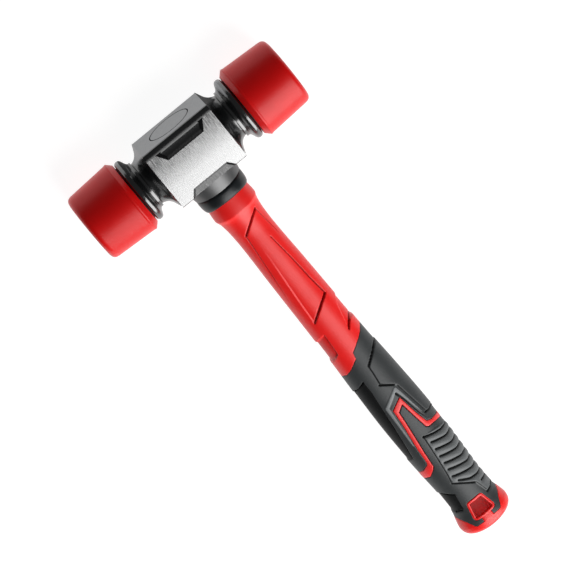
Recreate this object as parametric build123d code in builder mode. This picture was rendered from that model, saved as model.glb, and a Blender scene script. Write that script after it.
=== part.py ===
# Dead blow mallet with two screw-off faces, lying on its back on a bench.
#
# X runs along the head from face to face, Y up the handle towards the head, and Z up out of the
# front cheek. The origin is under the middle of the object, on the bench. Everything is in millimetres.
from build123d import *
import os

os.makedirs("parts", exist_ok=True)

# ---------------------------------------------------------------- driving dimensions
# face caps, soft polyurethane
face_diameter = 45.0
face_length = 32.0
face_taper = 1.75            # how much smaller the radius is at the strike face
face_seat_diameter = 39.2
face_rim_width = 3.0         # sloping band between the seat and the largest diameter
face_corner_radius = 4.0

# steel head
block_width = 44.7           # along the head
block_height = 36.2          # along the handle
block_depth = 37.6           # from cheek to cheek
block_chamfer = 3.2          # on the edges beside the top face
bottom_chamfer = 0.5         # on the edges beside the handle's boss
waist_diameter = 27.4
waist_offset = 7.2           # from the block's end to the thinnest place of the neck
waist_step = 1.3             # length and height of the small ring beside the flange
flange_diameter = 39.7
flange_width = 6.3
flange_slope = 4.3           # length of the flange's curved inner side
flange_rounding = 1.9
neck_length = 15.0           # from the block's end to the flange's outer face
pocket_depth = 1.8           # shallow pockets at the middle of each cheek, above and below
pocket_draft = 40.0          # degrees that their walls lean
top_pocket_width = 32.8
top_pocket_inner_width = 24.6
top_pocket_height = 6.6
bottom_pocket_width = 30.8
bottom_pocket_inner_width = 23.2
bottom_pocket_height = 4.8
socket_width = 33.6          # the boss below the block, which the handle goes up into
socket_depth = 31.0
socket_end_width = 30.4
socket_end_depth = 28.4
socket_length = 7.9

# handle core and the eye it is bonded in
core_width = 19.0
core_depth = 15.0
bond_thickness = 1.0
eye_plug_width = 26.3
eye_plug_depth = 21.7
eye_plug_thickness = 3.0

# shot chambers and their plugs
chamber_diameter = 19.0
eye_wall = 3.5               # steel left between the eye and each chamber
plug_diameter = 22.0
plug_length = 11.0
plug_seal_width = 2.0
plug_seal_depth = 1.4
plug_seal_inset = 2.5        # from the plug's inner end to its seal
plug_slot_width = 2.5
plug_slot_depth = 2.0
plug_slot_overrun = 1.0      # how far the slot's cutter runs past the plug on each side
shot_diameter = 4.0
shot_layers = 2

# the thread that holds each face
stud_diameter = 12.0
stud_length = 9.0
stud_tip_chamfer = 0.8
insert_diameter = 28.0
insert_thickness = 4.0
insert_boss_diameter = 18.0
insert_boss_length = 14.0
insert_groove_width = 3.0
insert_groove_depth = 1.5
washer_thickness = 0.5
washer_diameter = 34.0

# collar, sleeve and grip
collar_width = 30.4
collar_depth = 28.8
collar_length = 8.0 
collar_corner_radius = 1.6
neck_band_length = 10.2
shank_length = 116.0         # from the collar to where the grip starts, at the middle of the front
grip_length = 142.5          # from there to the butt
grip_wall = 2.2
inlay_depth = 1.2
butt_length = 30.0           # the butt cap's own length
butt_corner_radius = 4.0
shield_width = 24.8          # the grip's lower end, which lies over the butt cap
shield_foot_width = 18.8
shield_corner = 1.0          # cut off the foot's corners
shield_end_gap = 7.0         # from the shield's foot to the butt
hang_hole_width = 12.0
hang_hole_top_width = 8.2
hang_hole_height = 9.8
hang_frame_wall = 1.5
hang_hole_end_gap = 12.0     # from the hole to the butt
stem_width = 6.6

# clearances and fits
thread_clearance = 0.05      # radial, between the stud and its plug
washer_clearance = 0.3       # radial, between the washer and the stud
shot_clearance = 0.3
shot_spacing = 0.1
boss_clearance = 0.5         # room at the stud's tip before the chamber is reached

# ---------------------------------------------------------------- places worked out from them
head_reach = face_diameter / 2
block_end = block_width / 2
flange_end = block_end + neck_length
face_seat = flange_end + washer_thickness
collar_top = block_height / 2 + socket_length
collar_end = collar_top + collar_length
shank_end = collar_end + shank_length
butt_end = shank_end + grip_length
head_y = (head_reach + butt_end) / 2 - head_reach
axis_z = face_diameter / 2
plug_bottom = flange_end - plug_length
chamber_start = core_width / 2 + bond_thickness + eye_wall
chamber_length = plug_bottom - chamber_start
butt_start = butt_end - butt_length
eye_top = -block_height / 2
core_top = eye_top + eye_plug_thickness

head_plane = Plane(origin=(0, head_y, axis_z))
head_axis = Axis((0, head_y, axis_z), (1, 0, 0))
through = 2 * face_diameter

# How the shoulders narrow: share of the way from the block to the waist, share of the narrowing.
shoulder = [(0.0, 0.0), (0.22, 0.42), (0.55, 0.83), (1.0, 1.0)]

# Sections of the handle's outside: distance below the head's axis, and how much moulding there is
# over the core at the sides and at the front and back.
neck_band = [
    (collar_end, 3.8, 5.4),
    (collar_end + neck_band_length, 4.4, 5.9),
]
shaft = [
    (collar_end + neck_band_length, 3.4, 4.6),
    (collar_end + 0.162 * shank_length, 2.4, 3.4),
    (collar_end + 0.24 * shank_length, 2.1, 2.9),
    (collar_end + 0.493 * shank_length, 2.8, 3.3),
    (collar_end + 0.747 * shank_length, 3.4, 3.9),
    (shank_end, 4.1, 4.6),
    (shank_end + 0.18 * grip_length, 5.2, 5.4),
    (shank_end + 0.41 * grip_length, 6.1, 5.9),
    (shank_end + 0.52 * grip_length, 6.0, 5.8),
    (shank_end + 0.66 * grip_length, 5.3, 5.3),
    (shank_end + 0.78 * grip_length, 4.6, 4.8),
    (butt_end - 20.0, 4.9, 4.9),
]
butt = [
    (butt_end - 20.0, 4.9, 4.9),
    (butt_end - 14.0, 6.1, 5.5),
    (butt_end - 8.0, 7.5, 6.3),
    (butt_end, 7.1, 6.0),
]


def handle_plane(distance):
    """The plane across the handle, this far below the head's axis, seen from the head."""
    return Plane(origin=(0, head_y - distance, axis_z), x_dir=(1, 0, 0), z_dir=(0, -1, 0))


def handle_solid(sections, inset=0.0):
    """A loft through oval sections of the handle, all of them smaller by the inset."""
    with BuildPart() as solid:
        for distance, side_wall, front_wall in sections:
            with BuildSketch(handle_plane(distance)):
                Ellipse(core_width / 2 + side_wall - inset, core_depth / 2 + front_wall - inset)
        loft()
    return solid.part


def oval_prism(width, depth, top, bottom, grow=0.0):
    """A straight oval bar down the handle's axis, from one distance below the head to another."""
    with BuildPart() as bar:
        with BuildSketch(handle_plane(top)):
            Ellipse(width / 2 + grow, depth / 2 + grow)
        extrude(amount=bottom - top)
    return bar.part


def front_prism(points):
    """An outline drawn on the front, as (x, distance below the head), cut right through in Z."""
    with BuildPart() as prism:
        with BuildSketch(head_plane):
            with BuildLine():
                Polyline([(x, -distance) for x, distance in points], close=True)
            make_face()
        extrude(amount=through, both=True)
    return prism.part


# Where the black grip takes over from the red sleeve, from right to left across the front.
grip_top = [
    (30.0, shank_end - 9.0),
    (13.8, shank_end - 7.7),
    (10.1, shank_end - 5.3),
    (-0.9, shank_end + 0.6),
    (-1.8, shank_end + 4.7),
    (-6.8, shank_end + 7.9),
    (-11.7, shank_end + 11.0),
    (-14.0, shank_end + 11.7),
    (-30.0, shank_end + 12.0),
]
grip_region = front_prism(grip_top + [(-30.0, butt_end + 5.0), (30.0, butt_end + 5.0)])

# The red band that runs over the front from the right side to the left side, its upper edge first.
inlay_middle = shank_end + 0.33 * grip_length
inlay_region = front_prism(
    [
        (-20.0, inlay_middle + 45.8),
        (-12.3, inlay_middle + 40.2),
        (-8.7, inlay_middle + 38.0),
        (-8.0, inlay_middle + 36.2),
        (-7.3, inlay_middle + 25.6),
        (-6.3, inlay_middle + 17.5),
        (-4.9, inlay_middle + 6.3),
        (-4.2, inlay_middle - 3.1),
        (3.7, inlay_middle - 7.3),
        (5.5, inlay_middle + 6.4),
        (7.3, inlay_middle + 15.3),
        (9.9, inlay_middle + 17.1),
        (20.0, inlay_middle + 22.7),
        (20.0, inlay_middle + 24.8),
        (11.4, inlay_middle + 20.7),
        (6.3, inlay_middle + 18.6),
        (5.1, inlay_middle + 17.4),
        (4.1, inlay_middle + 10.9),
        (2.3, inlay_middle - 2.9),
        (-2.1, inlay_middle - 0.1),
        (-3.0, inlay_middle + 9.3),
        (-4.1, inlay_middle + 18.9),
        (-5.5, inlay_middle + 30.2),
        (-6.5, inlay_middle + 40.8),
        (-7.9, inlay_middle + 42.7),
        (-11.5, inlay_middle + 45.9),
        (-20.0, inlay_middle + 49.3),
    ]
)

# The grip's foot narrows over the butt cap, whose red shows on both sides of it and below it.
shield_region = front_prism(
    [
        (-30.0, shank_end - 40.0),
        (30.0, shank_end - 40.0),
        (30.0, butt_end - 28.0),
        (shield_width / 2, butt_end - 12.5),
        (shield_foot_width / 2, butt_end - shield_end_gap - shield_corner),
        (shield_foot_width / 2 - shield_corner, butt_end - shield_end_gap),
        (shield_corner - shield_foot_width / 2, butt_end - shield_end_gap),
        (-shield_foot_width / 2, butt_end - shield_end_gap - shield_corner),
        (-shield_width / 2, butt_end - 12.5),
        (-30.0, butt_end - 28.0),
    ]
)

hole_bottom = butt_end - hang_hole_end_gap
hole_top = hole_bottom - hang_hole_height
hang_hole = front_prism(
    [
        (-hang_hole_top_width / 2, hole_top),
        (hang_hole_top_width / 2, hole_top),
        (hang_hole_width / 2, hole_bottom),
        (-hang_hole_width / 2, hole_bottom),
    ]
)
hang_frame = front_prism(
    [
        (-hang_hole_top_width / 2 - hang_frame_wall, hole_top - hang_frame_wall),
        (hang_hole_top_width / 2 + hang_frame_wall, hole_top - hang_frame_wall),
        (hang_hole_width / 2 + hang_frame_wall, hole_bottom + hang_frame_wall),
        (stem_width / 2, hole_bottom + hang_frame_wall),
        (stem_width / 2, butt_end),
        (-stem_width / 2, butt_end),
        (-stem_width / 2, hole_bottom + hang_frame_wall),
        (-hang_hole_width / 2 - hang_frame_wall, hole_bottom + hang_frame_wall),
    ]
)

# ---------------------------------------------------------------- steel head


def cheek_pocket(points):
    """A shallow pocket cut into the front cheek, with leaning walls, from (x, y) points."""
    with BuildPart() as pocket:
        with BuildSketch(head_plane.offset(block_depth / 2)):
            with BuildLine():
                Polyline(points, close=True)
            make_face()
        extrude(amount=-pocket_depth, taper=pocket_draft)
    return pocket.part


top_pocket_edge = block_height / 2 - block_chamfer
top_pocket = cheek_pocket(
    [
        (-top_pocket_width / 2, top_pocket_edge),
        (top_pocket_width / 2, top_pocket_edge),
        (top_pocket_inner_width / 2, top_pocket_edge - top_pocket_height),
        (-top_pocket_inner_width / 2, top_pocket_edge - top_pocket_height),
    ]
)
bottom_pocket_edge = -block_height / 2
bottom_pocket = cheek_pocket(
    [
        (-bottom_pocket_width / 2, bottom_pocket_edge),
        (-bottom_pocket_inner_width / 2, bottom_pocket_edge + bottom_pocket_height),
        (bottom_pocket_inner_width / 2, bottom_pocket_edge + bottom_pocket_height),
        (bottom_pocket_width / 2, bottom_pocket_edge),
        (bottom_pocket_width / 2, bottom_pocket_edge - 2 * pocket_depth),
        (-bottom_pocket_width / 2, bottom_pocket_edge - 2 * pocket_depth),
    ]
)

with BuildPart() as head_body:
    with BuildSketch(head_plane):
        Rectangle(block_width, block_height)
    extrude(amount=block_depth / 2, both=True)
    long_edges = head_body.edges().filter_by(Axis.X).group_by(Axis.Y)
    chamfer(long_edges[-1], block_chamfer)
    chamfer(long_edges[0], bottom_chamfer)
    for pocket in (top_pocket, bottom_pocket):
        add(pocket, mode=Mode.SUBTRACT)
        add(pocket.mirror(Plane.XY.offset(axis_z)), mode=Mode.SUBTRACT)
    # the shoulders, which narrow from the block's own section to the round waist
    for side in (-1, 1):
        for fraction, narrowing in shoulder:
            height = block_height + narrowing * (waist_diameter - block_height)
            depth = block_depth + narrowing * (waist_diameter - block_depth)
            corner = block_chamfer + narrowing * (0.499 * waist_diameter - block_chamfer)
            shoulder_x = side * (block_end + fraction * waist_offset)
            with BuildSketch(Plane(origin=(shoulder_x, head_y, axis_z), x_dir=(0, 1, 0), z_dir=(side, 0, 0))):
                RectangleRounded(height, depth, corner)
        loft()
    # the socket boss below the block
    for distance, width, depth in (
        (block_height / 2 - 1.0, socket_width, socket_depth),
        (collar_top, socket_end_width, socket_end_depth),
    ):
        with BuildSketch(handle_plane(distance)):
            Ellipse(width / 2, depth / 2)
    loft()
    # the two necks, each with a small ring beside the waist and a flange for the face to seat on
    for side in (-1, 1):
        with BuildSketch(head_plane):
            with BuildLine():
                waist_radius = waist_diameter / 2
                ring_radius = waist_radius + waist_step
                flange_radius = flange_diameter / 2
                flange_x = flange_end - flange_width
                ring_x = flange_x - waist_step
                top_x = flange_x + flange_slope
                Polyline(
                    (side * flange_x, ring_radius),
                    (side * ring_x, ring_radius),
                    (side * ring_x, waist_radius),
                    (side * (block_end - 4.0), waist_radius),
                    (side * (block_end - 4.0), 0),
                    (side * flange_end, 0),
                    (side * flange_end, flange_radius - flange_rounding),
                )
                ThreePointArc(
                    (side * flange_end, flange_radius - flange_rounding),
                    (side * (flange_end - 0.293 * flange_rounding), flange_radius - 0.293 * flange_rounding),
                    (side * (flange_end - flange_rounding), flange_radius),
                )
                Line((side * (flange_end - flange_rounding), flange_radius), (side * top_x, flange_radius))
                Spline(
                    (side * top_x, flange_radius),
                    (side * (flange_x + 0.36 * flange_slope), (ring_radius + flange_radius) / 2),
                    (side * flange_x, ring_radius),
                    tangents=((-side, 0), (-side, -0.6)),
                )
            make_face()
        revolve(axis=head_axis)
    # the eye, the recess for its plug, and the chamber and plug bores
    add(oval_prism(core_width, core_depth, eye_top, collar_top, bond_thickness), mode=Mode.SUBTRACT)
    add(oval_prism(eye_plug_width, eye_plug_depth, eye_top, core_top), mode=Mode.SUBTRACT)
    for side in (-1, 1):
        with BuildSketch(head_plane):
            with BuildLine():
                Polyline(
                    (side * chamber_start, 0),
                    (side * chamber_start, chamber_diameter / 2),
                    (side * plug_bottom, chamber_diameter / 2),
                    (side * plug_bottom, plug_diameter / 2),
                    (side * flange_end, plug_diameter / 2),
                    (side * flange_end, 0),
                    close=True,
                )
            make_face()
        revolve(axis=head_axis, mode=Mode.SUBTRACT)
head_body.part.label = "head_body"
export_step(head_body.part, "parts/head_body.step")

with BuildPart() as eye_plug:
    add(oval_prism(eye_plug_width, eye_plug_depth, eye_top, core_top))
eye_plug.part.label = "eye_plug"
export_step(eye_plug.part, "parts/eye_plug.step")

# ---------------------------------------------------------------- handle
core_bottom = butt_start

with BuildPart() as eye_resin:
    add(oval_prism(core_width, core_depth, core_top, collar_top, bond_thickness))
    add(oval_prism(core_width, core_depth, core_top, collar_top), mode=Mode.SUBTRACT)
eye_resin.part.label = "eye_resin"
export_step(eye_resin.part, "parts/eye_resin.step")

with BuildPart() as handle_core:
    add(oval_prism(core_width, core_depth, core_top, core_bottom))
handle_core.part.label = "handle_core"
export_step(handle_core.part, "parts/handle_core.step")

with BuildPart() as collar:
    add(oval_prism(collar_width, collar_depth, collar_top, collar_end))
    fillet(collar.edges().filter_by(GeomType.ELLIPSE).sort_by(Axis.Y)[0], collar_corner_radius)
    add(oval_prism(core_width, core_depth, collar_top, collar_end), mode=Mode.SUBTRACT)
collar.part.label = "collar"
export_step(collar.part, "parts/collar.step")

outside = handle_solid(shaft)
under_grip = handle_solid(shaft, grip_wall)
under_inlay = handle_solid(shaft, inlay_depth)

with BuildPart() as handle_sleeve:
    add(outside)
    add(grip_region, mode=Mode.SUBTRACT)
    add(handle_solid(neck_band))
    add(under_grip)
    with BuildSketch(handle_plane(butt_start)):
        Rectangle(through, through)
    extrude(amount=through, mode=Mode.SUBTRACT)
    add(oval_prism(core_width, core_depth, collar_end, core_bottom), mode=Mode.SUBTRACT)
handle_sleeve.part.label = "handle_sleeve"
export_step(handle_sleeve.part, "parts/handle_sleeve.step")

with BuildPart() as whole_butt:
    add(handle_solid(butt))
    fillet(whole_butt.edges().sort_by(Axis.Y)[0], butt_corner_radius)

with BuildPart() as under_butt:
    add(handle_solid(butt, grip_wall))
    add(under_grip)
    with BuildSketch(handle_plane(butt_start)):
        Rectangle(through, through)
    extrude(amount=-through, mode=Mode.SUBTRACT)

with BuildPart() as grip_overmould:
    add(outside)
    add(whole_butt.part)
    add(grip_region, mode=Mode.INTERSECT)
    add(shield_region, mode=Mode.INTERSECT)
    add(under_grip, mode=Mode.SUBTRACT)
    add(under_butt.part, mode=Mode.SUBTRACT)
    add(hang_frame, mode=Mode.SUBTRACT)
with BuildPart() as grip_inlay:
    add(grip_overmould.part)
    add(inlay_region, mode=Mode.INTERSECT)
    add(under_inlay, mode=Mode.SUBTRACT)
grip_inlay.part.label = "grip_inlay"
export_step(grip_inlay.part, "parts/grip_inlay.step")

with grip_overmould:
    add(grip_inlay.part, mode=Mode.SUBTRACT)
grip_overmould.part.label = "grip_overmould"
export_step(grip_overmould.part, "parts/grip_overmould.step")

with BuildPart() as butt_cap:
    add(outside)
    add(whole_butt.part)
    with BuildSketch(handle_plane(butt_start)):
        Rectangle(through, through)
    extrude(amount=-2 * through - grip_length, mode=Mode.SUBTRACT)
    add(grip_overmould.part, mode=Mode.SUBTRACT)
    add(hang_hole, mode=Mode.SUBTRACT)
butt_cap.part.label = "butt_cap"
export_step(butt_cap.part, "parts/butt_cap.step")

# ---------------------------------------------------------------- faces, plugs and shot


def turned(points):
    """A solid turned about the head's axis from (x, radius) points."""
    with BuildPart() as solid:
        with BuildSketch(head_plane):
            with BuildLine():
                Polyline(points, close=True)
            make_face()
        revolve(axis=head_axis)
    return solid.part


stud_tip = flange_end - stud_length
insert_start = face_seat + insert_boss_length - insert_thickness
strike_face = face_seat + face_length
boss_radius = insert_boss_diameter / 2
stud_radius = stud_diameter / 2
tapped_radius = stud_radius + thread_clearance
tapped_end = stud_tip - boss_clearance
seal_start = plug_bottom + plug_seal_inset
seal_end = seal_start + plug_seal_width
seal_radius = plug_diameter / 2 - plug_seal_depth

for side, name in ((-1, "left"), (1, "right")):
    with BuildPart() as chamber_plug:
        add(
            turned(
                [
                    (side * plug_bottom, 0),
                    (side * plug_bottom, plug_diameter / 2),
                    (side * seal_start, plug_diameter / 2),
                    (side * seal_start, seal_radius),
                    (side * seal_end, seal_radius),
                    (side * seal_end, plug_diameter / 2),
                    (side * flange_end, plug_diameter / 2),
                    (side * flange_end, tapped_radius),
                    (side * tapped_end, tapped_radius),
                    (side * tapped_end, 0),
                ]
            )
        )
        with BuildSketch(Plane(origin=(side * flange_end, head_y, axis_z), z_dir=(-side, 0, 0))):
            Rectangle(plug_slot_width, plug_diameter + 2 * plug_slot_overrun)
        extrude(amount=plug_slot_depth, mode=Mode.SUBTRACT)
    chamber_plug.part.label = f"{name}_chamber_plug"
    export_step(chamber_plug.part, f"parts/{name}_chamber_plug.step")

    with BuildPart() as plug_seal:
        add(
            turned(
                [
                    (side * seal_start, seal_radius),
                    (side * seal_start, plug_diameter / 2),
                    (side * seal_end, plug_diameter / 2),
                    (side * seal_end, seal_radius),
                ]
            )
        )
    plug_seal.part.label = f"{name}_plug_seal"
    export_step(plug_seal.part, f"parts/{name}_plug_seal.step")

    with BuildPart() as face_stud:
        add(
            turned(
                [
                    (side * stud_tip, 0),
                    (side * stud_tip, stud_radius - stud_tip_chamfer),
                    (side * (stud_tip + stud_tip_chamfer), stud_radius),
                    (side * face_seat, stud_radius),
                    (side * face_seat, boss_radius),
                    (side * (insert_start - insert_groove_width), boss_radius),
                    (side * (insert_start - insert_groove_width), boss_radius - insert_groove_depth),
                    (side * insert_start, boss_radius - insert_groove_depth),
                    (side * insert_start, insert_diameter / 2),
                    (side * (insert_start + insert_thickness), insert_diameter / 2),
                    (side * (insert_start + insert_thickness), 0),
                ]
            )
        )
    face_stud.part.label = f"{name}_face_stud"
    export_step(face_stud.part, f"parts/{name}_face_stud.step")

    with BuildPart() as face_cap:
        add(
            turned(
                [
                    (side * face_seat, 0),
                    (side * face_seat, face_seat_diameter / 2),
                    (side * (face_seat + face_rim_width), face_diameter / 2),
                    (side * strike_face, face_diameter / 2 - face_taper),
                    (side * strike_face, 0),
                ]
            )
        )
        strike_edge = face_cap.edges().filter_by(GeomType.CIRCLE).sort_by(Axis.X)[-1 if side > 0 else 0]
        fillet(strike_edge, face_corner_radius)
        add(face_stud.part, mode=Mode.SUBTRACT)
    face_cap.part.label = f"{name}_face_cap"
    export_step(face_cap.part, f"parts/{name}_face_cap.step")

    with BuildPart() as face_washer:
        add(
            turned(
                [
                    (side * flange_end, stud_radius + washer_clearance),
                    (side * flange_end, washer_diameter / 2),
                    (side * face_seat, washer_diameter / 2),
                    (side * face_seat, stud_radius + washer_clearance),
                ]
            )
        )
    face_washer.part.label = f"{name}_face_washer"
    export_step(face_washer.part, f"parts/{name}_face_washer.step")

    # The loose shot: layers of balls across the chamber, one in the middle and rings round it.
    with BuildPart() as shot_charge:
        pitch = shot_diameter + shot_spacing
        for layer in range(shot_layers):
            ball_x = side * (chamber_start + shot_clearance + shot_diameter / 2 + layer * pitch)
            layer_plane = Plane(origin=(ball_x, head_y, axis_z), z_dir=(side, 0, 0))
            with Locations(layer_plane):
                Sphere(shot_diameter / 2)
                with PolarLocations(pitch, 6):
                    Sphere(shot_diameter / 2)
                with PolarLocations(pitch * 3**0.5, 6, start_angle=30):
                    Sphere(shot_diameter / 2)
    shot_charge.part.label = f"{name}_shot_charge"
    export_step(shot_charge.part, f"parts/{name}_shot_charge.step")

shot_travel = chamber_length - 2 * shot_clearance - shot_diameter - (shot_layers - 1) * pitch
print(f"head axis at y {head_y:.3f} z {axis_z:.3f}, overall {head_reach + butt_end:.2f} long")
print(f"strike faces at x {strike_face:.3f}, shot travel {shot_travel:.3f}")
print(f"hang hole from {head_y - hole_top:.2f} to {head_y - hole_bottom:.2f} in y")
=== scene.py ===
import math

import bmesh
import bpy
import numpy as np
from bpy.props import FloatProperty, FloatVectorProperty, IntProperty, PointerProperty, StringProperty
from mathutils import Matrix, Vector

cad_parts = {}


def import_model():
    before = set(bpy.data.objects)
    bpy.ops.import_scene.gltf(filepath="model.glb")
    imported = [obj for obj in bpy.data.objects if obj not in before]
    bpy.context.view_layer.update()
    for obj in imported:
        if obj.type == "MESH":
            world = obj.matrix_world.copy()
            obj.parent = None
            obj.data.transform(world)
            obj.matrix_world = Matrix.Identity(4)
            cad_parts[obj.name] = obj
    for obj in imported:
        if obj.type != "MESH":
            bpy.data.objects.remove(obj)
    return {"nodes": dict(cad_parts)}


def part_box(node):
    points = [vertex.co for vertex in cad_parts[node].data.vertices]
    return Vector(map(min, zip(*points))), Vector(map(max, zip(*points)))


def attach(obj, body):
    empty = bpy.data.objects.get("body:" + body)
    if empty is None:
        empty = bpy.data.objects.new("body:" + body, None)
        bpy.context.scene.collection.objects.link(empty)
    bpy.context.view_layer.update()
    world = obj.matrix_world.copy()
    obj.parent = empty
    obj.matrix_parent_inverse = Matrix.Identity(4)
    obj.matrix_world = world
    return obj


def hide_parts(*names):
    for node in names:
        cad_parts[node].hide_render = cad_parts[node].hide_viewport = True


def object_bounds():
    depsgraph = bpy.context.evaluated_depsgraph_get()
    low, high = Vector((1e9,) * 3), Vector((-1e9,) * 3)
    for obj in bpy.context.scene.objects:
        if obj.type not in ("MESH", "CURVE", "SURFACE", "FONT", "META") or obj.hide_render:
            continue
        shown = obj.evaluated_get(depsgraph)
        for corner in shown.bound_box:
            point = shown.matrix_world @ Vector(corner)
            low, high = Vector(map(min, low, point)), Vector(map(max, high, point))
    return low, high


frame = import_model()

bl_info = {
    "name": "Dead blow mallet",
    "version": (1, 0, 0),
    "blender": (4, 5, 0),
    "location": "3D Viewport > Sidebar > Mallet",
    "description": "Builds the finished surfaces of a two-face dead blow mallet around its frame",
    "category": "Add Mesh",
}

# ---------------------------------------------------------------- places read from the frame
MM = 0.001
CAD_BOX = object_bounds()
CAP_LOW, CAP_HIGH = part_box("right_face_cap")
PLUG_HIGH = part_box("eye_plug")[1]
FACE_SEAT = CAP_LOW.x / MM
STRIKE_FACE = CAP_HIGH.x / MM
AXIS_Y = (CAP_LOW.y + CAP_HIGH.y) / 2
AXIS_Z = (CAP_LOW.z + CAP_HIGH.z) / 2
CAP_RADIUS = (CAP_HIGH.z - CAP_LOW.z) / 2 / MM
COLLAR_TOP = (AXIS_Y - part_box("collar")[1].y) / MM
COLLAR_END = (AXIS_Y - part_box("collar")[0].y) / MM
COLLAR_BOW = (-0.65, 1.0)  # how far its foot is from there, at the front and at the sides
BUTT_END = (AXIS_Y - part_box("butt_cap")[0].y) / MM
HEAD_TOP = (PLUG_HIGH.y - AXIS_Y) / MM
# The boss under the head: distance below the head's axis, half width, half depth, at its top and end.
BOSS = [(17.1, 16.8, 15.5), (COLLAR_TOP, 15.2, 14.2)]

# ---------------------------------------------------------------- the handle's shape, in millimetres
# Distance below the head's axis, half width, half depth.
HANDLE = [
    (COLLAR_END - 1.2, 13.2, 12.8),
    (42.4, 13.95, 13.4),
    (43.1, 13.75, 13.15),
    (44.6, 13.1, 12.4),
    (47.4, 12.5, 11.65),
    (52.8, 11.9, 10.9),
    (61.9, 11.6, 10.4),
    (91.2, 12.3, 10.8),
    (120.6, 12.9, 11.4),
    (150.0, 13.6, 12.1),
    (175.7, 14.7, 12.9),
    (208.4, 15.6, 13.4),
    (224.1, 15.5, 13.3),
    (244.1, 14.8, 12.8),
    (261.2, 14.1, 12.3),
    (270.5, 14.2, 12.3),
    (275.5, 14.85, 12.6),
    (280.4, 16.2, 13.3),
    (285.5, 17.1, 13.8),
    (BUTT_END, 17.1, 13.8),
]
# The butt's rounded end, as shares of the largest width, from its widest place to its middle.
BUTT_TURN = [
    (285.5, 1.0),
    (287.6, 0.985),
    (289.6, 0.93),
    (291.0, 0.84),
    (291.9, 0.72),
    (292.3, 0.55),
    (292.45, 0.3),
    (BUTT_END, 0.0),
]
UNROLL = 14.5  # radius on which the handle's surface is laid out flat
LEAN = 0.388  # tangent of the angle between the usual view and the front
SIDE = UNROLL * math.pi / 2  # how far the side of the handle is from the middle of its front
RING = 288  # points round the handle


def smooth_through(stations, at):
    """Values of a smooth curve through (place, value) stations, which never overshoots them."""
    place, value = np.array(stations, float).T
    step = np.diff(place)
    rise = np.diff(value) / step
    slope = np.zeros(len(place))
    slope[0], slope[-1] = rise[0], rise[-1]
    for k in range(1, len(rise)):
        if rise[k - 1] * rise[k] > 0:
            slope[k] = 2 / (1 / rise[k - 1] + 1 / rise[k])
    at = np.clip(at, place[0], place[-1])
    k = np.clip(np.searchsorted(place, at) - 1, 0, len(step) - 1)
    t = (at - place[k]) / step[k]
    start = (1 + 2 * t) * (1 - t) ** 2 * value[k] + t * (1 - t) ** 2 * step[k] * slope[k]
    end = t * t * (3 - 2 * t) * value[k + 1] + t * t * (t - 1) * step[k] * slope[k + 1]
    return start + end


def collar_foot(turn):
    """Where the collar meets the sleeve, round the handle."""
    front, side = COLLAR_BOW
    return COLLAR_END + front + (side - front) * np.abs(np.sin(turn)) ** 2.5


def half_width(distance):
    """Half the handle's width, this far below the head's axis."""
    return smooth_through([(s, width) for s, width, depth in HANDLE], distance)


def half_depth(distance):
    """Half the handle's depth, this far below the head's axis."""
    return smooth_through([(s, depth) for s, width, depth in HANDLE], distance)


def world(x, distance, z):
    """Millimetres across, below the head's axis and in front of it, as points in metres."""
    x, distance, z = np.broadcast_arrays(x, distance, z)
    return np.stack([x * MM, AXIS_Y - distance * MM, AXIS_Z + z * MM], -1)


def on_handle(turn, distance, lift=0.0):
    """Points over the handle's surface. turn is the angle from the front towards the right side."""
    turn, distance, lift = np.broadcast_arrays(turn, distance, lift)
    step = 0.1
    width, depth = half_width(distance), half_depth(distance)
    width_slope = (half_width(distance + step) - half_width(distance - step)) / (2 * step)
    depth_slope = (half_depth(distance + step) - half_depth(distance - step)) / (2 * step)
    normal = np.stack(
        [
            depth * np.sin(turn),
            -(width_slope * depth * np.sin(turn) ** 2 + depth_slope * width * np.cos(turn) ** 2),
            width * np.cos(turn),
        ],
        -1,
    )
    normal /= np.linalg.norm(normal, axis=-1, keepdims=True)
    base = np.stack([width * np.sin(turn), distance, depth * np.cos(turn)], -1)
    moved = base + normal * lift[..., None]
    return world(moved[..., 0], moved[..., 1], moved[..., 2])


def height_at(x, distance):
    """How far the handle's front stands out from its middle plane, this far across."""
    share = min(abs(x) / float(half_width(distance)), 1.0)
    return float(half_depth(distance)) * math.sqrt(1 - share * share)


def unrolled(points, steps=3):
    """(x, distance, ...) points seen from the front, with x laid out flat round the handle.

    Each line between two points is divided, so that it stays straight for someone who looks at the
    front from a little above the head.
    """
    flat = []
    for start, end in [*zip(points, points[1:]), (points[-1], points[-1])]:
        low, high = height_at(*start[:2]), height_at(*end[:2])
        for k in range(steps if start is not end else 1):
            t = k / steps
            x, distance, *rest = (a + (b - a) * t for a, b in zip(start, end))
            width = float(half_width(distance))
            past = max(abs(x) - width, 0.0)
            distance += LEAN * (low + (high - low) * t - height_at(x, distance))
            across = math.copysign(UNROLL * math.asin(min(abs(x) / width, 1.0)) + past, x)
            flat.append((across, distance, *rest))
    return flat


def folded(turn):
    """How far round from the front or the back a place is, laid out flat: the back repeats the front."""
    return UNROLL * np.arcsin(np.clip(np.sin(turn), -1, 1))


# ---------------------------------------------------------------- lines and panels on a surface
def soft_step(value):
    """0 below 0, 1 above 1, and a smooth rise between."""
    value = np.clip(value, 0, 1)
    return value * value * (3 - 2 * value)


def path_distance(across, along, path):
    """Distance from each place to a path of (across, along, width) points, and its width there."""
    nearest = np.full(across.shape, 1e9)
    width = np.zeros(across.shape)
    for (a0, b0, w0), (a1, b1, w1) in zip(path, path[1:]):
        da, db = a1 - a0, b1 - b0
        t = np.clip(((across - a0) * da + (along - b0) * db) / (da * da + db * db), 0, 1)
        gap = np.hypot(across - a0 - t * da, along - b0 - t * db)
        closer = gap < nearest
        nearest = np.where(closer, gap, nearest)
        width = np.where(closer, w0 + t * (w1 - w0), width)
    return nearest, width


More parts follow.
